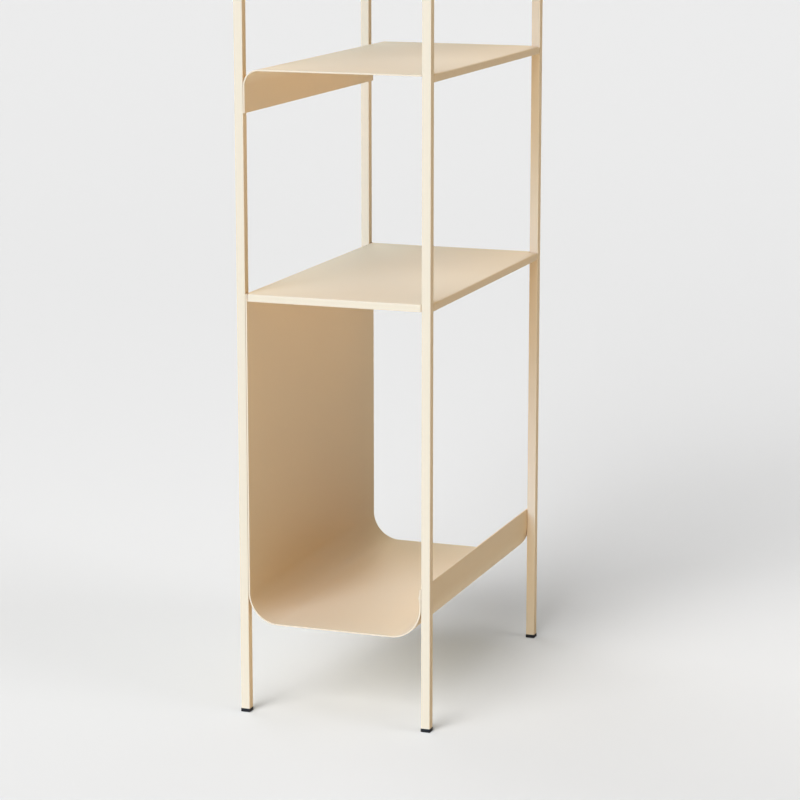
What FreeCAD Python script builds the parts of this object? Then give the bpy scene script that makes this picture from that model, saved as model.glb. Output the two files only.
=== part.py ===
import FreeCAD, Part
import os
from math import cos, radians, sin

# Tower shelf of bent steel sheet, hung between four thin square posts. Millimetres, +Z up.
# X runs along the shelves, -Y is the open front, and Z = 0 is the floor.
# The origin lies on the floor, below the middle of the four posts.

# Driving sizes of the whole unit
width = 495.0                   # over the posts, along X
depth = 280.0                   # over the posts, along Y
cradle_level = 132.5            # top of the cradle's floor
lower_tray_level = 595.0        # top of the tray that closes the cradle
bay_height = 305.0              # from the top of one shelf to the next above the lower tray

# Posts, of square tube
post_side = 12.7
post_wall = 1.2
post_corner = 0.8               # outer radius of the tube's corners
post_bore_corner = 0.3          # inner radius of the tube's corners

# Sheet
sheet = 2.0
fold_inner = 0.5                # inner radius of the tight folds along the lips
lip_height = 10.2               # from the top of a shelf to the lower edge of its lip
sheet_gap = 0.4                 # between a post and the sheet beside it, held open by the fasteners
nest_gap = 0.1                  # between the lower tray and the cradle's back panel

# Cradle
cradle_bend_inner = 42.0
cradle_front_rise = 69.0        # from the cradle's floor to the top of its front flange
cradle_upper_screw_drop = 36.0  # from the lower tray's level to the cradle's upper back screws

# Bent shelves
shelf_bend_inner = 20.0
shelf_back_drop = 59.0          # from the top of the shelf to the lower edge of its back flange

# Foot caps, and the plates welded on the posts' upper ends
foot_height = 5.0
foot_overhang = 0.6             # of the foot past each side of its post
foot_chamfer = 0.6
top_plate = 1.5
top_rounding = 0.5
stem_length = 16.0
stem_slack = 0.25               # between a stem's ribs and the tube, on each side
stem_rib = 1.2                  # a rib's height, and the space below it
stem_core_inset = 0.8           # of the stem's core behind its ribs
stem_ribs = 5                   # a count

# Threads and holes, one size for every joint
thread = 4.0
thread_slack = 0.1              # modelled all round a shank in its thread
clearance_hole = 4.5

# Weld bosses, on the back of the sheets, that reach into the back posts
boss_shoulder = 7.2
boss_barrel = 6.0
boss_reach = 8.0                # past the post's inner face
boss_floor = 1.0                # left solid below the blind thread
boss_slack = 0.2                # all round a boss in its hole

# Flat-head screws, sunk flush in the back of the back posts
flat_head = 7.6
flat_screw_length = 10.0
flat_head_slack = 0.05
cone_height = (flat_head - thread) / 2

# Low-head screws and the rivet nuts that they turn into
low_head = 7.0
low_head_height = 2.6
low_screw_length = 8.0
low_head_chamfer = 0.4
nut_barrel = 5.9
nut_length = 8.0
nut_bulge = 7.6
nut_bulge_height = 2.5
nut_hole_slack = 0.1
key_flats = 2.5                 # hexagon socket in both heads
key_depth = 1.4

# Brackets that tie the unit to a wall
bracket_height = 20.0
bracket_reach = 24.0            # from the sheet on the post to the end of the wall leg
bracket_drop = 18.0             # from the top tray's lip to the bracket's middle
wall_hole = 5.0
wall_hole_inset = 8.0           # from the end of the wall leg
overrun = 1.0                   # of every cutting tool past what it cuts

# Levels
lower_shelf_level = lower_tray_level + bay_height
upper_shelf_level = lower_shelf_level + bay_height
top_tray_level = upper_shelf_level + bay_height

# Places that several pieces share
half_width = width / 2
half_depth = depth / 2
post_inner_x = half_width - post_side
post_inner_y = half_depth - post_side
post_centre_x = half_width - post_side / 2
post_centre_y = half_depth - post_side / 2
back_face = post_inner_y - sheet_gap        # outer face of every back flange and of the cradle's panel
tongue_x = post_inner_x - sheet_gap         # half length of a front lip, between the front posts
notch_y = -post_inner_y + sheet_gap         # where a shelf starts behind the front posts
fold_outer = fold_inner + sheet
lip_screw_drop = (sheet + lip_height) / 2   # middle of the lip below the sheet
cradle_low_screw_level = cradle_level + (cradle_bend_inner + cradle_front_rise) / 2
cradle_upper_screw_level = lower_tray_level - cradle_upper_screw_drop
shelf_screw_drop = (sheet + shelf_bend_inner + shelf_back_drop) / 2
bracket_level = top_tray_level - lip_height - bracket_drop

V = FreeCAD.Vector
X_AXIS, Y_AXIS, Z_AXIS = V(1, 0, 0), V(0, 1, 0), V(0, 0, 1)
SIDES = {"left": -1, "right": 1}
ENDS = {"front": -1, "back": 1}


# Helpers

def box(x0, x1, y0, y1, z0, z1):
    x0, x1 = min(x0, x1), max(x0, x1)
    y0, y1 = min(y0, y1), max(y0, y1)
    return Part.makeBox(x1 - x0, y1 - y0, z1 - z0, V(x0, y0, z0))


def rod(start, direction, diameter, length):
    return Part.makeCylinder(diameter / 2, length, start, direction)


def is_upright(edge):
    return edge.BoundBox.ZLength > edge.Length / 2


def square_bar(side, corner, z0, z1, x, y):
    """Square bar about a vertical axis through (x, y), with rounded upright edges."""
    bar = box(x - side / 2, x + side / 2, y - side / 2, y + side / 2, z0, z1)
    return bar.makeFillet(corner, [edge for edge in bar.Edges if is_upright(edge)])


def extrude_section(points, x0, x1):
    """Solid along X from a section in the YZ plane. A point with a bulge starts an arc to the next one."""
    edges = []
    for index, (y, z, *centre) in enumerate(points):
        next_y, next_z = points[(index + 1) % len(points)][:2]
        start, end = V(x0, y, z), V(x0, next_y, next_z)
        if centre:
            middle = V(x0, *centre)
            radius = (start - middle).Length
            outward = ((start - middle) + (end - middle)).normalize()
            edges.append(Part.Arc(start, middle + outward * radius, end).toShape())
        else:
            edges.append(Part.LineSegment(start, end).toShape())
    return Part.Face(Part.Wire(edges)).extrude(X_AXIS * (x1 - x0))


def pan_block(x_half, y0, y1, z0, z1, radius, round_back):
    """Block with its upper edges and upright corners rounded. Its back stays square if round_back is false."""
    block = box(-x_half, x_half, y0, y1, z0, z1)

    def rounded(edge):
        middle = edge.CenterOfMass
        on_top = middle.z > (z0 + z1) / 2
        at_back = middle.y > (y0 + 3 * y1) / 4
        return (on_top or is_upright(edge)) and (round_back or not at_back)

    return block.makeFillet(radius, [edge for edge in block.Edges if rounded(edge)])


def hexagon_socket(face, direction):
    """Tool for a hexagon socket that opens at a point on a head and runs along a direction."""
    across = Z_AXIS.cross(direction)
    corner = key_flats / 2 / cos(radians(30))
    ring = [face + across * (corner * cos(radians(60 * k))) + Z_AXIS * (corner * sin(radians(60 * k)))
            for k in range(7)]
    return Part.Face(Part.makePolygon(ring)).extrude(direction * key_depth)


# Fasteners

def weld_boss(x, z, face):
    """Boss welded to a sheet's outer face, with a blind thread that opens into the back post."""
    start = V(x, face, z)
    shoulder = rod(start, Y_AXIS, boss_shoulder, post_inner_y - face)
    barrel = rod(start, Y_AXIS, boss_barrel, post_inner_y + boss_reach - face)
    bore_length = post_inner_y + boss_reach - (back_face + boss_floor)
    bore = rod(V(x, back_face + boss_floor, z), Y_AXIS, thread + 2 * thread_slack, bore_length + overrun)
    return shoulder.fuse(barrel).cut(bore).removeSplitter()


def flat_head_screw(x, z):
    """Screw sunk flush in the outer face of a back post, that points forward."""
    start = V(x, half_depth, z)
    cone = Part.makeCone(flat_head / 2, thread / 2, cone_height, start, -Y_AXIS)
    shank = rod(start, -Y_AXIS, thread, flat_screw_length)
    return cone.fuse(shank).cut(hexagon_socket(start, -Y_AXIS)).removeSplitter()


def low_head_screw(seat, direction):
    """Screw whose head stands on a seat and whose shank runs along a direction."""
    top = seat - direction * low_head_height
    head = rod(top, direction, low_head, low_head_height)
    rim = [edge for edge in head.Edges
           if len(edge.Vertexes) == 1 and (edge.CenterOfMass - top).Length < low_head_height / 2]
    head = head.makeChamfer(low_head_chamfer, rim)
    shank = rod(seat, direction, thread, low_screw_length)
    return head.fuse(shank).cut(hexagon_socket(top, direction)).removeSplitter()


def rivet_nut(wall_face, direction):
    """Threaded insert set in a tube's wall, with its thin flange outside and its bulge behind the wall."""
    flange = rod(wall_face - direction * sheet_gap, direction, boss_shoulder, sheet_gap)
    barrel = rod(wall_face, direction, nut_barrel, nut_length)
    bulge = rod(wall_face + direction * post_wall, direction, nut_bulge, nut_bulge_height)
    bore = rod(wall_face - direction * (sheet_gap + overrun), direction, thread + 2 * thread_slack,
               nut_length + sheet_gap + 2 * overrun)
    return flange.fuse([barrel, bulge]).cut(bore).removeSplitter()


# Joints: where each fastener sits

def back_joint_levels():
    return [cradle_low_screw_level, cradle_upper_screw_level, lower_tray_level - lip_screw_drop,
            lower_shelf_level - shelf_screw_drop, upper_shelf_level - shelf_screw_drop,
            top_tray_level - lip_screw_drop]


def front_joint_levels():
    return [level - lip_screw_drop
            for level in (lower_tray_level, lower_shelf_level, upper_shelf_level, top_tray_level)]


def both_sides(make):
    return Part.makeCompound([make(side) for side in SIDES.values()])


def weld_bosses(levels, face):
    return Part.makeCompound([weld_boss(side * post_centre_x, level, face)
                              for level in levels for side in SIDES.values()])


def back_screws(levels):
    return Part.makeCompound([flat_head_screw(side * post_centre_x, level)
                              for level in levels for side in SIDES.values()])


def side_screws(level, y):
    """Pair of low-head screws that hold an upright ear to the inner side of a left and a right post."""
    return both_sides(lambda side: low_head_screw(V(side * (tongue_x - sheet), y, level), X_AXIS * side))


def side_nuts(level, y):
    return both_sides(lambda side: rivet_nut(V(side * post_inner_x, y, level), X_AXIS * side))


# Posts

def post(side, end):
    x, y = side * post_centre_x, end * post_centre_y
    z0, z1 = foot_height, top_tray_level - top_plate
    tube = square_bar(post_side, post_corner, z0, z1, x, y)
    bore = square_bar(post_side - 2 * post_wall, post_bore_corner, z0 - overrun, z1 + overrun, x, y)
    wall_cut = post_wall + overrun
    side_hole_levels = [bracket_level]
    tools = [bore]
    if end == ENDS["back"]:
        for level in back_joint_levels():
            inner = V(x, post_inner_y - overrun, level)
            tools.append(rod(inner, Y_AXIS, boss_barrel + 2 * boss_slack, wall_cut))
            head_reach = flat_head / 2 + flat_head_slack
            tools.append(Part.makeCone(head_reach + overrun, head_reach - post_wall, post_wall + overrun,
                                       V(x, half_depth + overrun, level), -Y_AXIS))
    else:
        side_hole_levels = front_joint_levels()
        inner = V(x, -post_inner_y + overrun, cradle_low_screw_level)
        tools.append(rod(inner, -Y_AXIS, nut_barrel + 2 * nut_hole_slack, wall_cut))
    for level in side_hole_levels:
        inner = V(side * (post_inner_x - overrun), y, level)
        tools.append(rod(inner, X_AXIS * side, nut_barrel + 2 * nut_hole_slack, wall_cut))
    return tube.cut(tools)


def foot_stem(x, y):
    """Ribbed stem that grips the inside of a post, above the foot that it stands on."""
    tube_inside = post_side - 2 * post_wall
    rib_side = tube_inside - 2 * stem_slack
    core_side = rib_side - 2 * stem_core_inset

    def rib(k):
        z0 = foot_height + stem_rib * (2 * k + 1)
        return square_bar(rib_side, post_bore_corner, z0, z0 + stem_rib, x, y)

    core = square_bar(core_side, post_bore_corner, foot_height, foot_height + stem_length, x, y)
    return core.fuse([rib(k) for k in range(stem_ribs)])


def foot_cap(side, end):
    x, y = side * post_centre_x, end * post_centre_y
    foot = square_bar(post_side + 2 * foot_overhang, post_corner + foot_overhang, 0, foot_height, x, y)
    sole_edges = [edge for edge in foot.Edges if edge.BoundBox.ZMax < foot_chamfer]
    foot = foot.makeChamfer(foot_chamfer, sole_edges)
    return foot.fuse(foot_stem(x, y)).removeSplitter()


def top_cap(side, end):
    x, y = side * post_centre_x, end * post_centre_y
    plate = square_bar(post_side, post_corner, top_tray_level - top_plate, top_tray_level, x, y)
    rim = [edge for edge in plate.Edges if edge.BoundBox.ZMin > top_tray_level - top_rounding]
    return plate.makeFillet(top_rounding, rim)


# Sheets

def cradle():
    """Deep cradle: a back panel, a flat floor and a short front flange, bent from one sheet."""
    outer, inner = back_face, back_face - sheet
    floor_under = cradle_level - sheet
    bend_outer = cradle_bend_inner + sheet
    turn = outer - bend_outer
    turn_level = floor_under + bend_outer
    panel_top, flange_top = lower_tray_level, cradle_level + cradle_front_rise
    section = [
        (outer, panel_top), (outer, turn_level, turn, turn_level),
        (turn, floor_under), (-turn, floor_under, -turn, turn_level),
        (-outer, turn_level), (-outer, flange_top), (-inner, flange_top),
        (-inner, turn_level, -turn, turn_level), (-turn, cradle_level),
        (turn, cradle_level, turn, turn_level), (inner, turn_level), (inner, panel_top)]
    shape = extrude_section(section, -half_width, half_width)
    tools = []
    for side in SIDES.values():
        x = side * post_centre_x
        tools.append(rod(V(x, -inner + overrun, cradle_low_screw_level), -Y_AXIS, clearance_hole,
                         sheet + 2 * overrun))
        tools.append(rod(V(x, inner - overrun, lower_tray_level - lip_screw_drop), Y_AXIS,
                         boss_shoulder + 2 * boss_slack, sheet + 2 * overrun))
    return shape.cut(tools)


def ear_holes(level):
    """Tools for the screw holes in the ears at both ends of a front lip."""
    return [rod(V(side * (tongue_x - sheet - overrun), -post_centre_y, level - lip_screw_drop),
                X_AXIS * side, clearance_hole, sheet + 2 * overrun) for side in SIDES.values()]


def front_tongue(level, reach_back):
    """Solid and hollow of the part of a shelf that fills the space between the front posts."""
    solid = pan_block(tongue_x, -half_depth, notch_y + reach_back, level - lip_height, level, fold_outer, False)
    hollow = pan_block(tongue_x - sheet, -half_depth + sheet, notch_y + reach_back + overrun,
                       level - lip_height - overrun, level - sheet, fold_inner, False)
    return solid, hollow


def bent_shelf(level):
    """Shelf with a deep back flange on a round bend, a low front lip, and an ear at each end of the lip."""
    outer, inner = back_face, back_face - sheet
    bend_outer = shelf_bend_inner + sheet
    turn, turn_level = outer - bend_outer, level - bend_outer
    flange_foot, under = level - shelf_back_drop, level - sheet
    section = [
        (notch_y, level), (turn, level, turn, turn_level), (outer, turn_level),
        (outer, flange_foot), (inner, flange_foot), (inner, turn_level, turn, turn_level),
        (turn, under), (notch_y, under)]
    plate = extrude_section(section, -half_width, half_width)
    solid, hollow = front_tongue(level, 0)
    return plate.fuse(solid.cut(hollow)).cut(ear_holes(level)).removeSplitter()


def tray(level, back_edge, sharp_back):
    """Flat shelf with a low lip all round, notched around the front posts. Its back fold is sharp or rounded."""
    solid, hollow = front_tongue(level, 2 * fold_outer)
    main = pan_block(half_width, notch_y, back_edge, level - lip_height, level, fold_outer, True)
    if sharp_back:
        edge_x = half_width - 2 * fold_outer
        main = main.fuse(box(-edge_x, edge_x, back_edge - fold_outer, back_edge, level - fold_outer, level))
    inside = pan_block(half_width - sheet, notch_y + sheet, back_edge - sheet,
                       level - lip_height - overrun, level - sheet, fold_inner, True)
    return main.fuse(solid).cut([inside, hollow]).cut(ear_holes(level)).removeSplitter()


def wall_bracket(side):
    """Angle on a back post's inner side, with a leg in the plane of the wall and a hole for a wall screw."""
    z0, z1 = bracket_level - bracket_height / 2, bracket_level + bracket_height / 2
    x = side * tongue_x
    wall_plane, front_edge = half_depth, post_inner_y
    far = side * (tongue_x - bracket_reach)
    angle = box(x, x - side * sheet, front_edge, wall_plane, z0, z1)
    angle = angle.fuse(box(x, far, wall_plane - sheet, wall_plane, z0, z1)).removeSplitter()

    def folds(offset):
        corner_x, corner_y = x - side * offset, wall_plane - offset
        return [edge for edge in angle.Edges
                if is_upright(edge) and abs(edge.CenterOfMass.x - corner_x) < sheet / 4
                and abs(edge.CenterOfMass.y - corner_y) < sheet / 4]

    angle = angle.makeFillet(fold_outer, folds(0))
    angle = angle.makeFillet(fold_inner, folds(sheet))
    screw_hole = rod(V(side * (tongue_x - sheet - overrun), post_centre_y, bracket_level), X_AXIS * side,
                     clearance_hole, sheet + 2 * overrun)
    wall_screw_hole = rod(V(far + side * wall_hole_inset, wall_plane - sheet - overrun, bracket_level), Y_AXIS,
                          wall_hole, sheet + 2 * overrun)
    return angle.cut([screw_hole, wall_screw_hole])


# Assembly

def pieces():
    nodes = {}
    for end_name, end in ENDS.items():
        for side_name, side in SIDES.items():
            corner = f"{end_name}_{side_name}"
            nodes[f"post_{corner}"] = post(side, end)
            nodes[f"foot_cap_{corner}"] = foot_cap(side, end)
            nodes[f"top_cap_{corner}"] = top_cap(side, end)

    cradle_levels = [cradle_low_screw_level, cradle_upper_screw_level]
    nodes["cradle"] = cradle()
    nodes["cradle_weld_bosses"] = weld_bosses(cradle_levels, back_face)
    nodes["cradle_back_screws"] = back_screws(cradle_levels)
    nodes["cradle_front_screws"] = both_sides(lambda side: low_head_screw(
        V(side * post_centre_x, -back_face + sheet, cradle_low_screw_level), -Y_AXIS))
    nodes["cradle_rivet_nuts"] = both_sides(lambda side: rivet_nut(
        V(side * post_centre_x, -post_inner_y, cradle_low_screw_level), -Y_AXIS))

    nested_edge = back_face - sheet - nest_gap
    shelves = [
        ("lower_tray", tray(lower_tray_level, nested_edge, True), lower_tray_level, lip_screw_drop, nested_edge),
        ("lower_shelf", bent_shelf(lower_shelf_level), lower_shelf_level, shelf_screw_drop, back_face),
        ("upper_shelf", bent_shelf(upper_shelf_level), upper_shelf_level, shelf_screw_drop, back_face),
        ("top_tray", tray(top_tray_level, back_face, False), top_tray_level, lip_screw_drop, back_face)]
    for name, shape, level, back_drop, face in shelves:
        nodes[name] = shape
        nodes[f"{name}_weld_bosses"] = weld_bosses([level - back_drop], face)
        nodes[f"{name}_back_screws"] = back_screws([level - back_drop])
        nodes[f"{name}_front_screws"] = side_screws(level - lip_screw_drop, -post_centre_y)
        nodes[f"{name}_rivet_nuts"] = side_nuts(level - lip_screw_drop, -post_centre_y)

    for side_name, side in SIDES.items():
        nodes[f"wall_bracket_{side_name}"] = wall_bracket(side)
    nodes["wall_bracket_screws"] = side_screws(bracket_level, post_centre_y)
    nodes["wall_bracket_rivet_nuts"] = side_nuts(bracket_level, post_centre_y)
    return nodes


os.makedirs("parts", exist_ok=True)
for name, shape in pieces().items():
    if not shape.isValid():
        raise ValueError(f"{name} is not a valid solid")
    shape.exportStep(f"parts/{name}.step")
    print(f"{name}: {len(shape.Solids)} solid(s), {shape.Volume:.1f} mm3")
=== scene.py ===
"""Tower shelf of bent, powder-coated sheet on four square posts, in a plain pale studio.

The frame gives the sizes and places of every piece. The sheets and tubes are made again here with their round bends
smooth and their cut edges eased, and everything gets its finish. Metres, +Z up, -Y is the open front.
"""
from math import cos, pi, radians, sin

import bmesh
import bpy
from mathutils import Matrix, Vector


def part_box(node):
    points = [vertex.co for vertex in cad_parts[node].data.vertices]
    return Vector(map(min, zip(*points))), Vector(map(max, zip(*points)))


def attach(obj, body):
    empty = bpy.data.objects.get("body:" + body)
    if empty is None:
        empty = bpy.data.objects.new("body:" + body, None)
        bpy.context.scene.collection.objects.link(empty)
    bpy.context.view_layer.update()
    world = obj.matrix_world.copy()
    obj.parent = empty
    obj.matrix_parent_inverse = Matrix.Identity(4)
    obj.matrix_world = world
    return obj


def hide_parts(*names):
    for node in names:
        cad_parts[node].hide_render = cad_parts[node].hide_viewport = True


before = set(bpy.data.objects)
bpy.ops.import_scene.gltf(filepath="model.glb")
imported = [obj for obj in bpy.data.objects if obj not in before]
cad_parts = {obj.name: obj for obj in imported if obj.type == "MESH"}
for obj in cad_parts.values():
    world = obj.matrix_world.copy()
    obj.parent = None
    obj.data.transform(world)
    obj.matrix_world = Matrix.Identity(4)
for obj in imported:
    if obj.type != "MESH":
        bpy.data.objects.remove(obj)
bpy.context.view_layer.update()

SIDES = {"left": -1, "right": 1}
ENDS = {"front": -1, "back": 1}
SHARP = (0, 0)                  # way into the sheet of an outline point where the fold has no radius
BODY = "root"
BACK_SCREWS = ("cradle", "lower_tray", "lower_shelf", "upper_shelf", "top_tray")
LOW_HEAD_SCREWS = ("cradle_front_screws", "lower_tray_front_screws", "lower_shelf_front_screws",
                   "upper_shelf_front_screws", "top_tray_front_screws", "wall_bracket_screws")
scene = bpy.context.scene

# Sizes that the corner boxes of the nodes can't tell
sheet = 0.002
sheet_gap = 0.0004              # between a post and the sheet beside it
fold_radius = 0.0025            # outer, of the tight folds along the lips
fold_steps = 8
cradle_bend = 0.044             # outer
shelf_bend = 0.022              # outer
bend_steps = 28
cradle_front_rise = 0.071       # from the cradle's underside to the top of its front flange
bend_relief = 0.0008            # slot beside an ear, where the fold starts
edge_ease = 0.00025             # rounding of the sheets' cut edges under the coat
merge_within = edge_ease / 100
cut_edge = 50                   # degrees between two faces, from which on an edge stays an edge
drilled_edge = 40

post_corner = 0.0008
post_bore_corner = 0.0003
post_wall = 0.0012
corner_steps = 6
cap_rounding = 0.0005
foot_chamfer = 0.0006
foot_flare = 0.0002             # of the foot's sides, over its height

flat_head = 0.0076
flat_head_gap = 0.00005         # all round a sunk head
low_head_height = 0.0026
flat_head_chamfer = 0.00003
head_chamfer = 0.0003
thread = 0.004
socket_flats = 0.0025
socket_depth = 0.0014
head_sides = 40

# Finishes
cream = (0.84, 0.625, 0.37, 1.0)
near_black = (0.018, 0.017, 0.016, 1.0)
zinc_grey = (0.62, 0.62, 0.6, 1.0)

# Studio. The unit's lamps are cool, and the floor's are warm on a cool floor, which leaves the floor grey and takes
# the warm tinge off the light that the coat throws on it
floor_colour = (0.575, 0.685, 0.805)
floor_lamp_tint = (1.19, 1.0, 0.851)
floor_radius = 40
floor_sides = 64
floor_reach = 12.0              # of the floor's painted shade ring, in metres from its middle
floor_painted_shade_ring = ((0.0, 1.0), (12.0, 1.0), (1.2, 1.0), (3.2, 0.97), (6.0, 0.99))    # metres and tone, the two ends first; the dip about 3.2 m out is painted shade, as in a backdrop's crease
backdrop = 0.8
light_strength = 3.0
unit_lamps = (
    # name, azimuth, elevation, width, colour
    ("key", 255, 30, 45, (0.19, 0.29, 0.53)),
    ("key_heart", 255, 25, 25, (0.18, 0.28, 0.55)),
    ("key_upper", 263, 47, 30, (0.13, 0.21, 0.31)),
    ("key_lower", 270, 12, 35, (0.17, 0.25, 0.35)),
    ("overhead_left", 300, 62, 50, (0.26, 0.16, 0.06)),
    ("overhead", 0, 90, 60, (0.12, 0.16, 0.17)),
    ("rim", 105, 33, 35, (0.37, 0.41, 0.41)),
    ("back_upper", 180, 25, 50, (0.19, 0.30, 0.50)),
    ("front", 352, 16, 40, (0.04, 0.03, 0.02)),
)
floor_lamps = (
    # name, azimuth, elevation, width, grey
    ("floor_key", 255, 30, 45, 0.76),
    ("floor_key_heart", 255, 25, 25, 0.22),
    ("floor_key_upper", 265, 40, 30, 0.11),
    ("floor_key_lower", 270, 12, 35, 0.80),
    ("floor_overhead", 0, 90, 60, 0.34),
    ("floor_back", 150, 19, 40, 0.32),
    ("floor_front", 354, 15, 40, 0.48),
)

# Places that several pieces share, from the frame
post_low, post_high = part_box("post_front_left")
post_side = post_high.x - post_low.x
half_width = -post_low.x
half_depth = -post_low.y
post_centre_x = half_width - post_side / 2
post_centre_y = half_depth - post_side / 2
back_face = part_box("cradle")[1].y                     # outer face of the panel and the back flanges
notch_y = -back_face                                  # where a sheet starts behind the front posts
tongue_x = half_width - post_side - sheet_gap         # half length of a front lip


# Mesh helpers

def arc(centre, radius, start, end, steps):
    """Points on an arc in a plane, with angles in degrees."""
    return [(centre[0] + radius * cos(radians(start + (end - start) * k / steps)),
             centre[1] + radius * sin(radians(start + (end - start) * k / steps))) for k in range(steps + 1)]


def bridge(shape, rows, closed):
    """Quads between successive rows of vertices. Each row is closed to a ring, or open."""
    for low, high in zip(rows, rows[1:]):
        count = len(low)
        for k in range(count if closed else count - 1):
            follow = (k + 1) % count
            shape.faces.new((low[k], low[follow], high[follow], high[k]))


def piece_from(name, shape):
    """Object with a bmesh for its mesh, doubles merged and faces outwards."""
    bmesh.ops.remove_doubles(shape, verts=shape.verts, dist=merge_within)
    bmesh.ops.recalc_face_normals(shape, faces=shape.faces)
    mesh = bpy.data.meshes.new(name)
    shape.to_mesh(mesh)
    shape.free()
    piece = bpy.data.objects.new(name, mesh)
    scene.collection.objects.link(piece)
    return piece


def settle(piece):
    """Makes what the modifiers show of a piece its own plain mesh."""
    graph = bpy.context.evaluated_depsgraph_get()
    mesh = bpy.data.meshes.new_from_object(piece.evaluated_get(graph), depsgraph=graph)
    piece.modifiers.clear()
    rough, piece.data = piece.data, mesh
    bpy.data.meshes.remove(rough)
    mesh.name = piece.name


def smooth(piece, sharpest):
    """Shades a piece smooth up to an angle in degrees, with flat faces kept flat."""
    piece.data.shade_smooth()
    piece.data.set_sharp_from_angle(angle=radians(sharpest))
    weighted = piece.modifiers.new("flat faces lead", "WEIGHTED_NORMAL")
    weighted.keep_sharp = True
    settle(piece)


def ease_edges(piece, segments):
    """Rounds a piece's cut edges and makes it a plain mesh."""
    ease = piece.modifiers.new("eased edges", "BEVEL")
    ease.width = edge_ease
    ease.segments = segments
    ease.limit_method = "ANGLE"
    ease.angle_limit = radians(cut_edge)
    settle(piece)
    smooth(piece, cut_edge)


def hand_over(piece, material, slot, *nodes):
    """Gives a piece its finish and lets it stand for its nodes."""
    piece.data.materials.clear()
    piece.data.materials.append(material)
    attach(piece, BODY)
    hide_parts(*nodes)


# Node helpers

def node(tree, kind, inputs=(), **settings):
    """Adds a node, sets it, and fills its sockets, each from a socket or with a value."""
    made = tree.nodes.new(kind)
    for name, value in settings.items():
        setattr(made, name, value)
    for key, value in dict(inputs).items():
        if isinstance(value, bpy.types.NodeSocket):
            tree.links.new(value, made.inputs[key])
        else:
            made.inputs[key].default_value = value
    return made


def group(name, kind, inputs, outputs):
    """Node group with named sockets, and its input and output nodes."""
    tree = bpy.data.node_groups.new(name, kind)
    for socket, socket_type in inputs.items():
        tree.interface.new_socket(socket, in_out="INPUT", socket_type=socket_type)
    for socket, socket_type in outputs.items():
        tree.interface.new_socket(socket, in_out="OUTPUT", socket_type=socket_type)
    return tree, tree.nodes.new("NodeGroupInput").outputs, tree.nodes.new("NodeGroupOutput").inputs


def joined(tree, *geometries):
    join = tree.nodes.new("GeometryNodeJoinGeometry")
    for geometry in reversed(geometries):
        tree.links.new(geometry, join.inputs[0])
    return join.outputs[0]


def grow(name, tree, places, **values):
    """Piece that a geometry tree grows on a set of places, each a point with the direction it faces."""
    mesh = bpy.data.meshes.new(name)
    mesh.from_pydata([place for place, facing in places], [], [])
    facings = mesh.attributes.new("facing", "FLOAT_VECTOR", "POINT")
    for k, (place, facing) in enumerate(places):
        facings.data[k].vector = facing
    piece = bpy.data.objects.new(name, mesh)
    scene.collection.objects.link(piece)
    grower = piece.modifiers.new("grow", "NODES")
    grower.node_group = tree
    for item in tree.interface.items_tree:
        if item.in_out == "INPUT" and item.name in values:
            grower[item.identifier] = values[item.name]
    settle(piece)
    return piece


# Finishes

def colour_drift_group():
    """Slow, faint change of a coat's colour over a large face, as on any sprayed part."""
    tree, given, out = group("colour drift", "ShaderNodeTree", {
        "Place": "NodeSocketVector", "Colour": "NodeSocketColor", "Scale": "NodeSocketFloat",
        "Amount": "NodeSocketFloat"}, {"Colour": "NodeSocketColor"})
    cloud = node(tree, "ShaderNodeTexNoise", {
        "Vector": given["Place"], "Scale": given["Scale"], "Detail": 3.0, "Roughness": 0.55})
    centred = node(tree, "ShaderNodeMath", {0: cloud.outputs["Fac"], 1: 0.5}, operation="SUBTRACT")
    shift = node(tree, "ShaderNodeMath", {0: centred.outputs[0], 1: given["Amount"], 2: 1.0}, operation="MULTIPLY_ADD")
    tinted = node(tree, "ShaderNodeVectorMath", {"Vector": given["Colour"], "Scale": shift.outputs[0]},
                  operation="SCALE")
    tree.links.new(tinted.outputs[0], out["Colour"])
    return tree


def orange_peel_group():
    """Height of the low waves and the fine grain that a baked powder coat dries with."""
    tree, given, out = group("orange peel", "ShaderNodeTree", {
        "Place": "NodeSocketVector", "Wave size": "NodeSocketFloat", "Grain size": "NodeSocketFloat",
        "Grain share": "NodeSocketFloat"}, {"Height": "NodeSocketFloat"})

    def waves(size, detail):
        scale = node(tree, "ShaderNodeMath", {0: 1.0, 1: size}, operation="DIVIDE")
        return node(tree, "ShaderNodeTexNoise", {
            "Vector": given["Place"], "Scale": scale.outputs[0], "Detail": detail}).outputs["Fac"]

    height = node(tree, "ShaderNodeMix", {
        "Factor": given["Grain share"], "A": waves(given["Wave size"], 1.0), "B": waves(given["Grain size"], 2.0)},
        data_type="FLOAT")
    tree.links.new(height.outputs["Result"], out["Height"])
    return tree


def surface(name):
    """New material, with its tree, its shader and the place on the object."""
    material = bpy.data.materials.new(name)
    material.use_nodes = True
    tree = material.node_tree
    return material, tree, tree.nodes["Principled BSDF"], tree.nodes.new("ShaderNodeTexCoord").outputs["Object"]


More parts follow.
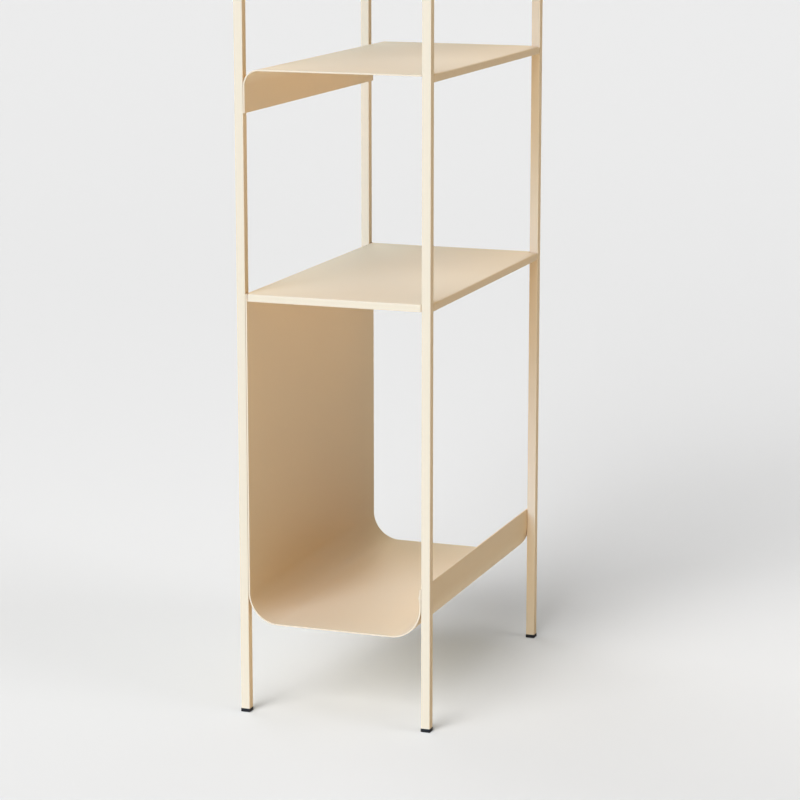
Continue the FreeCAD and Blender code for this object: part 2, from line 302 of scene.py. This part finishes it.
def coat_material(name, drift, peel, colour, roughness, specular, peel_height):
    """Baked or moulded skin with a slow drift of its colour and a fine grain."""
    material, tree, shader, place = surface(name)
    shader.inputs["Specular IOR Level"].default_value = specular
    tone = node(tree, "ShaderNodeGroup", {
        "Place": place, "Colour": colour, "Scale": 3.5, "Amount": 0.05}, node_tree=drift)
    skin = node(tree, "ShaderNodeGroup", {
        "Place": place, "Wave size": 0.0022, "Grain size": 0.0005, "Grain share": 0.3}, node_tree=peel)
    bump = node(tree, "ShaderNodeBump", {
        "Height": skin.outputs["Height"], "Strength": 0.5, "Distance": peel_height})
    gloss = node(tree, "ShaderNodeMapRange", {
        "Value": skin.outputs["Height"], "To Min": roughness - 0.03, "To Max": roughness + 0.03})
    tree.links.new(tone.outputs["Colour"], shader.inputs["Base Color"])
    tree.links.new(gloss.outputs["Result"], shader.inputs["Roughness"])
    tree.links.new(bump.outputs["Normal"], shader.inputs["Normal"])
    return material


def zinc_material(name, drift):
    """Bright zinc plate, faintly cloudy."""
    material, tree, shader, place = surface(name)
    shader.inputs["Metallic"].default_value = 1.0
    tone = node(tree, "ShaderNodeGroup", {
        "Place": place, "Colour": zinc_grey, "Scale": 300.0, "Amount": 0.2}, node_tree=drift)
    cloud = node(tree, "ShaderNodeTexNoise", {"Vector": place, "Scale": 900.0, "Detail": 4.0})
    gloss = node(tree, "ShaderNodeMapRange", {"Value": cloud.outputs["Fac"], "To Min": 0.28, "To Max": 0.45})
    tree.links.new(tone.outputs["Colour"], shader.inputs["Base Color"])
    tree.links.new(gloss.outputs["Result"], shader.inputs["Roughness"])
    return material


# Posts and their caps

def square_ring(shape, side, corner, z, x, y):
    """Ring of vertices on a square with round corners, about a vertical axis."""
    inset = side / 2 - corner
    corners = [(inset, inset, 0), (-inset, inset, 90), (-inset, -inset, 180), (inset, -inset, 270)]
    return [shape.verts.new((x + px, y + py, z)) for cx, cy, start in corners
            for px, py in arc((cx, cy), corner, start, start + 90, corner_steps)]


def stacked_squares(name, rings, x, y):
    """Closed solid through square rings, each given by its side, corner and level."""
    shape = bmesh.new()
    rows = [square_ring(shape, side, corner, z, x, y) for side, corner, z in rings]
    bridge(shape, rows, True)
    shape.faces.new(rows[0])
    shape.faces.new(rows[-1])
    piece = piece_from(name, shape)
    smooth(piece, cut_edge)
    return piece


def square_tube_tree():
    """Square tube between two levels, with round corners, drilled at every place that the tree is given."""
    tree, given, out = group("drilled square tube", "GeometryNodeTree", {
        "Places": "NodeSocketGeometry", "Centre": "NodeSocketVector", "Bottom": "NodeSocketFloat",
        "Top": "NodeSocketFloat", "Side": "NodeSocketFloat", "Corner": "NodeSocketFloat",
        "Bore corner": "NodeSocketFloat", "Wall": "NodeSocketFloat", "Corner steps": "NodeSocketInt",
        "Head": "NodeSocketFloat", "Hole sides": "NodeSocketInt", "Material": "NodeSocketMaterial"}, {
            "Tube": "NodeSocketGeometry"})

    def less(value, taken):
        return node(tree, "ShaderNodeMath", {0: value, 1: taken}, operation="SUBTRACT").outputs[0]

    def outline(side, corner):
        square = node(tree, "GeometryNodeCurvePrimitiveQuadrilateral", {"Width": side, "Height": side})
        return node(tree, "GeometryNodeFilletCurve", {
            "Curve": square.outputs[0], "Radius": corner, "Count": given["Corner steps"]}, mode="POLY").outputs[0]

    two_walls = node(tree, "ShaderNodeMath", {0: given["Wall"], 1: 2.0}, operation="MULTIPLY").outputs[0]
    inner = outline(less(given["Side"], two_walls), given["Bore corner"])
    ring = node(tree, "GeometryNodeFillCurve", {
        "Curve": joined(tree, outline(given["Side"], given["Corner"]), inner)}, mode="TRIANGLES").outputs[0]
    rise = node(tree, "ShaderNodeCombineXYZ", {"Z": less(given["Top"], given["Bottom"])})
    walls = node(tree, "GeometryNodeExtrudeMesh", {
        "Mesh": ring, "Offset": rise.outputs[0], "Offset Scale": 1.0, "Individual": False}).outputs["Mesh"]
    tube = node(tree, "GeometryNodeMergeByDistance", {
        "Geometry": joined(tree, walls, node(tree, "GeometryNodeFlipFaces", {"Mesh": ring}).outputs[0]),
        "Distance": merge_within}).outputs[0]
    foot = node(tree, "ShaderNodeCombineXYZ", {"Z": given["Bottom"]})
    seat = node(tree, "ShaderNodeVectorMath", {0: given["Centre"], 1: foot.outputs[0]}, operation="ADD")
    stood = node(tree, "GeometryNodeTransform", {"Geometry": tube, "Translation": seat.outputs[0]}).outputs[0]

    radius = node(tree, "ShaderNodeMath", {0: given["Head"], 1: 2.0}, operation="DIVIDE").outputs[0]
    wide = node(tree, "ShaderNodeMath", {0: radius, 1: given["Wall"]}, operation="ADD").outputs[0]
    drill = node(tree, "GeometryNodeMeshCone", {
        "Vertices": given["Hole sides"], "Radius Top": wide, "Radius Bottom": less(radius, given["Wall"]),
        "Depth": two_walls})
    sink = node(tree, "ShaderNodeCombineXYZ", {"Z": less(0.0, given["Wall"])})
    centred = node(tree, "GeometryNodeTransform", {
        "Geometry": drill.outputs["Mesh"], "Translation": sink.outputs[0]}).outputs[0]
    facing = node(tree, "GeometryNodeInputNamedAttribute", {"Name": "facing"}, data_type="FLOAT_VECTOR")
    aim = node(tree, "FunctionNodeAlignRotationToVector", {"Vector": facing.outputs[0]}, axis="Z")
    drills = node(tree, "GeometryNodeInstanceOnPoints", {
        "Points": given["Places"], "Instance": centred, "Rotation": aim.outputs[0]})
    bits = node(tree, "GeometryNodeRealizeInstances", {0: drills.outputs[0]})
    cut = node(tree, "GeometryNodeMeshBoolean", {
        "Mesh 1": stood, "Mesh 2": bits.outputs[0]}, operation="DIFFERENCE", solver="EXACT")
    coated = node(tree, "GeometryNodeSetMaterial", {"Geometry": cut.outputs[0], "Material": given["Material"]})
    tree.links.new(coated.outputs[0], out["Tube"])
    return tree


def posts_and_caps(coat, black):
    tube = square_tube_tree()
    for end_name, end in ENDS.items():
        for side_name, side in SIDES.items():
            corner = f"{end_name}_{side_name}"
            x, y = side * post_centre_x, end * post_centre_y
            low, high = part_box(f"post_{corner}")
            places = []
            if end == ENDS["back"]:
                places = [((x, half_depth, level), (0, 1, 0))
                          for name in BACK_SCREWS for level in sunk_screw_levels(name)]
            post = grow(f"square_post_{corner}", tube, places, **{
                "Centre": (x, y, 0), "Bottom": low.z, "Top": high.z, "Side": post_side, "Corner": post_corner,
                "Bore corner": post_bore_corner, "Wall": post_wall, "Corner steps": corner_steps,
                "Head": flat_head + 2 * flat_head_gap, "Hole sides": head_sides, "Material": coat})
            smooth(post, drilled_edge)
            hand_over(post, coat, "post_coat", f"post_{corner}")

            low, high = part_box(f"top_cap_{corner}")
            rim = arc((0, high.z - cap_rounding), cap_rounding, 0, 90, corner_steps)
            rings = [(post_side - 2 * (cap_rounding - reach), post_corner - (cap_rounding - reach), z)
                     for reach, z in rim]
            cap = stacked_squares(f"welded_top_{corner}", [(post_side, post_corner, low.z)] + rings, x, y)
            hand_over(cap, coat, "post_coat", f"top_cap_{corner}")

            low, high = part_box(f"foot_cap_{corner}")
            sole, seat = high.x - low.x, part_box(f"post_{corner}")[0].z
            round_corner = post_corner + (sole - post_side) / 2
            foot = stacked_squares(f"rubber_foot_{corner}", [
                (sole - 2 * foot_chamfer, round_corner - foot_chamfer, low.z),
                (sole, round_corner, low.z + foot_chamfer),
                (sole - foot_flare, round_corner - foot_flare / 2, seat - cap_rounding),
                (sole - 2 * cap_rounding, round_corner - cap_rounding, seat)], x, y)
            hand_over(foot, black, "foot_black", f"foot_cap_{corner}")


# Sheets

def bent_path(corners, bend):
    """Section line through (y, z) corners, with a round bend at each corner inside the line."""
    points = [corners[0]]
    for before, corner, after in zip(corners, corners[1:], corners[2:]):
        back = (Vector(before) - Vector(corner)).normalized()
        ahead = (Vector(after) - Vector(corner)).normalized()
        middle = Vector(corner) + (back + ahead) * bend
        for k in range(bend_steps + 1):
            turn = radians(90 * k / bend_steps)
            points.append(tuple(middle - ahead * bend * cos(turn) - back * bend * sin(turn)))
    return points + [corners[-1]]


def strip(shape, path, stations):
    """Skin of a sheet that follows a section line, drawn along X through the stations."""
    rows = [[shape.verts.new((x, y, z)) for x in stations] for y, z in path]
    bridge(shape, rows, False)


def thicken(name, shape, outwards):
    """Sheet with its full thickness behind a skin, and its cut edges eased."""
    piece = piece_from(name, shape)
    faces = piece.data.polygons
    if faces[0].normal.dot(Vector(outwards)) < 0:
        piece.data.flip_normals()
    solid = piece.modifiers.new("thickness", "SOLIDIFY")
    solid.thickness = sheet
    solid.offset = -1
    solid.use_even_offset = True
    ease_edges(piece, 3)
    return piece


def cradle(coat):
    low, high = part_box("cradle")
    shape = bmesh.new()
    strip(shape, bent_path([(high.y, high.z), (high.y, low.z), (low.y, low.z), (low.y, low.z + cradle_front_rise)],
                           cradle_bend), (low.x, high.x))
    piece = thicken("bent_cradle", shape, (0, 1, 0))
    hand_over(piece, coat, "sheet_coat", "cradle")


def lip_profile(drop):
    """Inset and level of a skin that folds down from a flat top and ends in a lip."""
    return arc((fold_radius, -fold_radius), fold_radius, 90, 180, fold_steps) + [(0, -drop)]


def swept_lip(shape, outline, level, drop, closed):
    """Folded lip along an outline of points, each with the way into the sheet. Returns its inner row."""
    def place(point, into, inset, z):
        if into == SHARP and z < 0:
            z = max(z - fold_radius, -drop)
        return point[0] + inset * into[0], point[1] + inset * into[1], level + z

    rows = [[shape.verts.new(place(point, into, inset, z)) for point, into in outline]
            for inset, z in lip_profile(drop)]
    bridge(shape, rows, closed)
    return rows[0]


def round_corner(x, y, side, end):
    """Outline points round a corner that points to a side and an end."""
    centre = (x - side * fold_radius, y - end * fold_radius)
    start = {(1, 1): 0, (-1, 1): 90, (-1, -1): 180, (1, -1): 270}[side, end]
    points = arc(centre, fold_radius, start, start + 90, fold_steps)
    return [(point, ((centre[0] - point[0]) / fold_radius, (centre[1] - point[1]) / fold_radius)) for point in points]


def tongue_outline(front):
    """Outline round the front of a sheet, from the left notch to the right one."""
    return round_corner(-tongue_x, front, -1, -1) + round_corner(tongue_x, front, 1, -1)


def folded_tray(name, coat, sharp_back):
    """Flat sheet with a lip all round, notched about the front posts. Its back fold is sharp or rounded."""
    low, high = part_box(name)
    shape = bmesh.new()
    outline = tongue_outline(low.y)
    outline.append(((tongue_x, notch_y), (-1, 1)))
    outline += round_corner(high.x, notch_y, 1, -1) + round_corner(high.x, high.y, 1, 1)
    if sharp_back:
        outline += [((high.x - 2 * fold_radius, high.y), SHARP), ((low.x + 2 * fold_radius, high.y), SHARP)]
    outline += round_corner(low.x, high.y, -1, 1) + round_corner(low.x, notch_y, -1, -1)
    outline.append(((-tongue_x, notch_y), (1, 1)))
    inner = swept_lip(shape, outline, high.z, high.z - low.z, True)
    shape.faces.new(inner)
    piece = thicken(f"folded_{name}", shape, (0, 0, 1))
    hand_over(piece, coat, "sheet_coat", name)


def bent_shelf(name, coat, lip_drop):
    """Sheet with a round bend to its back flange, and a lip with two ears between the front posts."""
    low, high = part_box(name)
    shape = bmesh.new()
    inner_x = tongue_x - fold_radius
    path = bent_path([(notch_y, high.z), (high.y, high.z), (high.y, low.z)], shelf_bend)
    strip(shape, path, (low.x, -inner_x, inner_x, high.x))
    slot_y = notch_y - bend_relief
    outline = [((-tongue_x, slot_y), (1, 0))] + tongue_outline(low.y) + [((tongue_x, slot_y), (-1, 0))]
    inner = swept_lip(shape, outline, high.z, lip_drop, False)
    ends = [shape.verts.new((x, notch_y, high.z)) for x in (inner_x, -inner_x)]
    shape.faces.new(inner + ends)
    piece = thicken(f"bent_{name}", shape, (0, 0, 1))
    hand_over(piece, coat, "sheet_coat", name)


# Fasteners

def screw_tree():
    """Screws on a set of places: a round head, straight or tapered to its seat, a hexagon socket and a shank."""
    tree, given, out = group("socket screws", "GeometryNodeTree", {
        "Places": "NodeSocketGeometry", "Head radius": "NodeSocketFloat", "Seat radius": "NodeSocketFloat",
        "Head height": "NodeSocketFloat", "Chamfer": "NodeSocketFloat", "Shank radius": "NodeSocketFloat",
        "Shank length": "NodeSocketFloat", "Socket radius": "NodeSocketFloat", "Socket depth": "NodeSocketFloat",
        "Sides": "NodeSocketInt", "Material": "NodeSocketMaterial"}, {"Screws": "NodeSocketGeometry"})

    def maths(operation, first, second):
        return node(tree, "ShaderNodeMath", {0: first, 1: second}, operation=operation).outputs[0]

    def raised(geometry, height):
        up = node(tree, "ShaderNodeCombineXYZ", {"Z": height}).outputs[0]
        return node(tree, "GeometryNodeTransform", {"Geometry": geometry, "Translation": up}).outputs[0]

    head = node(tree, "GeometryNodeMeshCone", {
        "Vertices": given["Sides"], "Radius Top": given["Head radius"], "Radius Bottom": given["Seat radius"],
        "Depth": maths("SUBTRACT", given["Head height"], given["Chamfer"])})
    crown = node(tree, "GeometryNodeExtrudeMesh", {
        "Mesh": head.outputs["Mesh"], "Selection": head.outputs["Top"], "Offset Scale": given["Chamfer"],
        "Individual": False})
    narrow = node(tree, "GeometryNodeScaleElements", {
        "Geometry": crown.outputs["Mesh"], "Selection": crown.outputs["Top"],
        "Scale": maths("DIVIDE", maths("SUBTRACT", given["Head radius"], given["Chamfer"]), given["Head radius"])})
    shank = node(tree, "GeometryNodeMeshCylinder", {
        "Vertices": given["Sides"], "Radius": given["Shank radius"], "Depth": given["Shank length"]})
    hung = raised(shank.outputs["Mesh"], maths("MULTIPLY", given["Shank length"], -0.5))
    key = node(tree, "GeometryNodeMeshCylinder", {
        "Vertices": 6, "Radius": given["Socket radius"], "Depth": maths("MULTIPLY", given["Socket depth"], 2.0)})
    cut = node(tree, "GeometryNodeMeshBoolean", {
        "Mesh 1": narrow.outputs[0], "Mesh 2": raised(key.outputs["Mesh"], given["Head height"])},
        operation="DIFFERENCE", solver="EXACT")
    facing = node(tree, "GeometryNodeInputNamedAttribute", {"Name": "facing"}, data_type="FLOAT_VECTOR")
    aim = node(tree, "FunctionNodeAlignRotationToVector", {"Vector": facing.outputs[0]}, axis="Z")
    placed = node(tree, "GeometryNodeInstanceOnPoints", {
        "Points": given["Places"], "Instance": joined(tree, cut.outputs[0], hung), "Rotation": aim.outputs[0]})
    real = node(tree, "GeometryNodeRealizeInstances", {0: placed.outputs[0]})
    coated = node(tree, "GeometryNodeSetMaterial", {"Geometry": real.outputs[0], "Material": given["Material"]})
    tree.links.new(coated.outputs[0], out["Screws"])
    return tree


def sunk_screw_levels(name):
    """The one or two levels of a sheet's screws in the back posts, to a hundredth of a millimetre."""
    low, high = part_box(f"{name}_back_screws")
    return sorted({round(low.z + flat_head / 2, 5), round(high.z - flat_head / 2, 5)})


def screws(coat):
    tree = screw_tree()
    common = {"Chamfer": head_chamfer, "Shank radius": thread / 2, "Socket radius": socket_flats / 2 / cos(pi / 6),
              "Socket depth": socket_depth, "Sides": head_sides, "Material": coat}
    for name in BACK_SCREWS:
        low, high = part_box(f"{name}_back_screws")
        taper = (flat_head - thread) / 2
        places = [((side * post_centre_x, half_depth - taper, level), (0, 1, 0))
                  for level in sunk_screw_levels(name) for side in SIDES.values()]
        flat = grow(f"sunk_screws_{name}", tree, places, **{
            **common, "Head radius": flat_head / 2, "Seat radius": thread / 2, "Head height": taper,
            "Chamfer": flat_head_chamfer, "Shank length": high.y - low.y - taper})
        smooth(flat, drilled_edge)
        hand_over(flat, coat, "coated_screw", f"{name}_back_screws")

    for name in LOW_HEAD_SCREWS:
        low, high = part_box(name)
        middle = (low + high) / 2
        head = high.z - low.z
        if name == "cradle_front_screws":
            seat = high.y - low_head_height
            places = [((side * post_centre_x, seat, middle.z), (0, 1, 0)) for side in SIDES.values()]
            length = seat - low.y
        else:
            seat = tongue_x - sheet
            places = [((side * seat, middle.y, middle.z), (-side, 0, 0)) for side in SIDES.values()]
            length = high.x - seat
        low_heads = grow(f"low_head_{name}", tree, places, **{
            **common, "Head radius": head / 2, "Seat radius": head / 2, "Head height": low_head_height,
            "Shank length": length})
        smooth(low_heads, drilled_edge)
        hand_over(low_heads, coat, "coated_screw", name)


def eased_copy(node_name, coat, slot):
    """The node's own shape, merged, with its cut edges eased."""
    shape = bmesh.new()
    shape.from_mesh(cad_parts[node_name].data)
    bmesh.ops.remove_doubles(shape, verts=shape.verts, dist=merge_within)
    bmesh.ops.dissolve_limit(shape, angle_limit=radians(1), verts=shape.verts, edges=shape.edges)
    piece = piece_from(f"folded_{node_name}", shape)
    ease_edges(piece, 2)
    hand_over(piece, coat, slot, node_name)


# Studio

def direction(azimuth, elevation):
    """Unit vector toward an azimuth and an elevation in degrees: 0 is the open front, 90 is +X."""
    turn, tilt = radians(azimuth), radians(elevation)
    return Vector((sin(turn) * cos(tilt), -cos(turn) * cos(tilt), sin(tilt)))


def camera(azimuth, elevation, place, lens):
    """Camera at a place, that looks back from an azimuth and an elevation in degrees."""
    data = bpy.data.cameras.new("camera")
    data.sensor_width = 36.0
    data.lens = lens
    made = bpy.data.objects.new("camera", data)
    made.location = place
    made.rotation_mode = "QUATERNION"
    made.rotation_quaternion = (-direction(azimuth, elevation)).to_track_quat("-Z", "Y")
    scene.collection.objects.link(made)
    scene.camera = made


def soft_light(name, azimuth, elevation, width, colour, receivers):
    """Far, round light of a width in degrees, for the things that a collection names."""
    data = bpy.data.lights.new(name, "SUN")
    data.angle = radians(width)
    data.energy = light_strength
    data.color = colour
    lamp = bpy.data.objects.new(name, data)
    lamp.rotation_mode = "QUATERNION"
    lamp.rotation_quaternion = direction(azimuth, elevation).to_track_quat("Z", "Y")
    lamp.light_linking.receiver_collection = receivers
    lamp.visible_glossy = False
    scene.collection.objects.link(lamp)


def floor_material():
    """Pale matt floor, with a soft darker ring of painted shade, standing in for the shade where a studio's backdrop
    begins to rise.
    """
    material, tree, shader, place = surface("floor")
    shader.inputs["Specular IOR Level"].default_value = 0.0
    shader.inputs["Roughness"].default_value = 1.0
    distance = node(tree, "ShaderNodeVectorMath", {0: place}, operation="LENGTH")
    # painted shade: this ramp darkens the floor's colour in a soft ring about 3.2 m out, as a backdrop's crease would
    # be shaded
    tone = tree.nodes.new("ShaderNodeValToRGB")
    reach = node(tree, "ShaderNodeMapRange", {"Value": distance.outputs["Value"], "From Max": floor_reach})
    tree.links.new(reach.outputs["Result"], tone.inputs["Fac"])
    tone.color_ramp.interpolation = "B_SPLINE"
    stops = tone.color_ramp.elements
    for k, (metres, shade) in enumerate(floor_painted_shade_ring):    # a ramp is made with its two ends
        stop = stops[k] if k < 2 else stops.new(metres / floor_reach)
        stop.position = metres / floor_reach
        stop.color = (*(shade * part for part in floor_colour), 1.0)
    tree.links.new(tone.outputs["Color"], shader.inputs["Base Color"])
    return material


def studio():
    shape = bmesh.new()
    rim = arc((0, 0), floor_radius, 0, 360 - 360 / floor_sides, floor_sides - 1)
    shape.faces.new([shape.verts.new((x, y, 0)) for x, y in rim])
    floor = piece_from("floor", shape)
    floor.data.materials.append(floor_material())

    world = bpy.data.worlds.new("studio")
    world.use_nodes = True
    tree = world.node_tree
    background = tree.nodes["Background"]
    rays = tree.nodes.new("ShaderNodeLightPath").outputs
    seen = rays["Is Camera Ray"]
    for kind in ("Is Glossy Ray", "Is Transmission Ray"):
        seen = node(tree, "ShaderNodeMath", {0: seen, 1: rays[kind]}, operation="MAXIMUM").outputs[0]
    level = node(tree, "ShaderNodeMath", {0: seen, 1: backdrop}, operation="MULTIPLY")
    tree.links.new(level.outputs[0], background.inputs["Strength"])
    background.inputs["Color"].default_value = (1, 1, 1, 1)
    scene.world = world

    only_floor, all_but_floor = (bpy.data.collections.new(name) for name in ("only_floor", "all_but_floor"))
    for receivers in (only_floor, all_but_floor):
        receivers.objects.link(floor)
    all_but_floor.collection_objects[0].light_linking.link_state = "EXCLUDE"
    for name, azimuth, elevation, width, colour in unit_lamps:
        soft_light(name, azimuth, elevation, width, colour, all_but_floor)
    for name, azimuth, elevation, width, grey in floor_lamps:
        soft_light(name, azimuth, elevation, width, [grey * part for part in floor_lamp_tint], only_floor)
    scene.view_settings.view_transform = "Standard"


camera(azimuth=-70.123, elevation=11.813, place=(-3.7697, -1.3703, 1.2469), lens=128.15)

drift, peel = colour_drift_group(), orange_peel_group()
coat = coat_material("cream_powder_coat", drift, peel, cream, roughness=0.5, specular=0.2, peel_height=0.00003)
black = coat_material("black_moulded_plastic", drift, peel, near_black, roughness=0.6, specular=0.15,
                      peel_height=0.00004)
zinc = zinc_material("zinc_plate", drift)

posts_and_caps(coat, black)
cradle(coat)
tray_low, tray_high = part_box("lower_tray")
folded_tray("lower_tray", coat, True)
folded_tray("top_tray", coat, False)
for name in ("lower_shelf", "upper_shelf"):
    bent_shelf(name, coat, tray_high.z - tray_low.z)
for side in SIDES:
    eased_copy(f"wall_bracket_{side}", coat, "post_coat")
screws(coat)
for name, cad_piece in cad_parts.items():
    for ending, finish in (("_rivet_nuts", zinc), ("_weld_bosses", coat)):
        if name.endswith(ending):
            cad_piece.data.materials.clear()
            cad_piece.data.materials.append(finish)
studio()
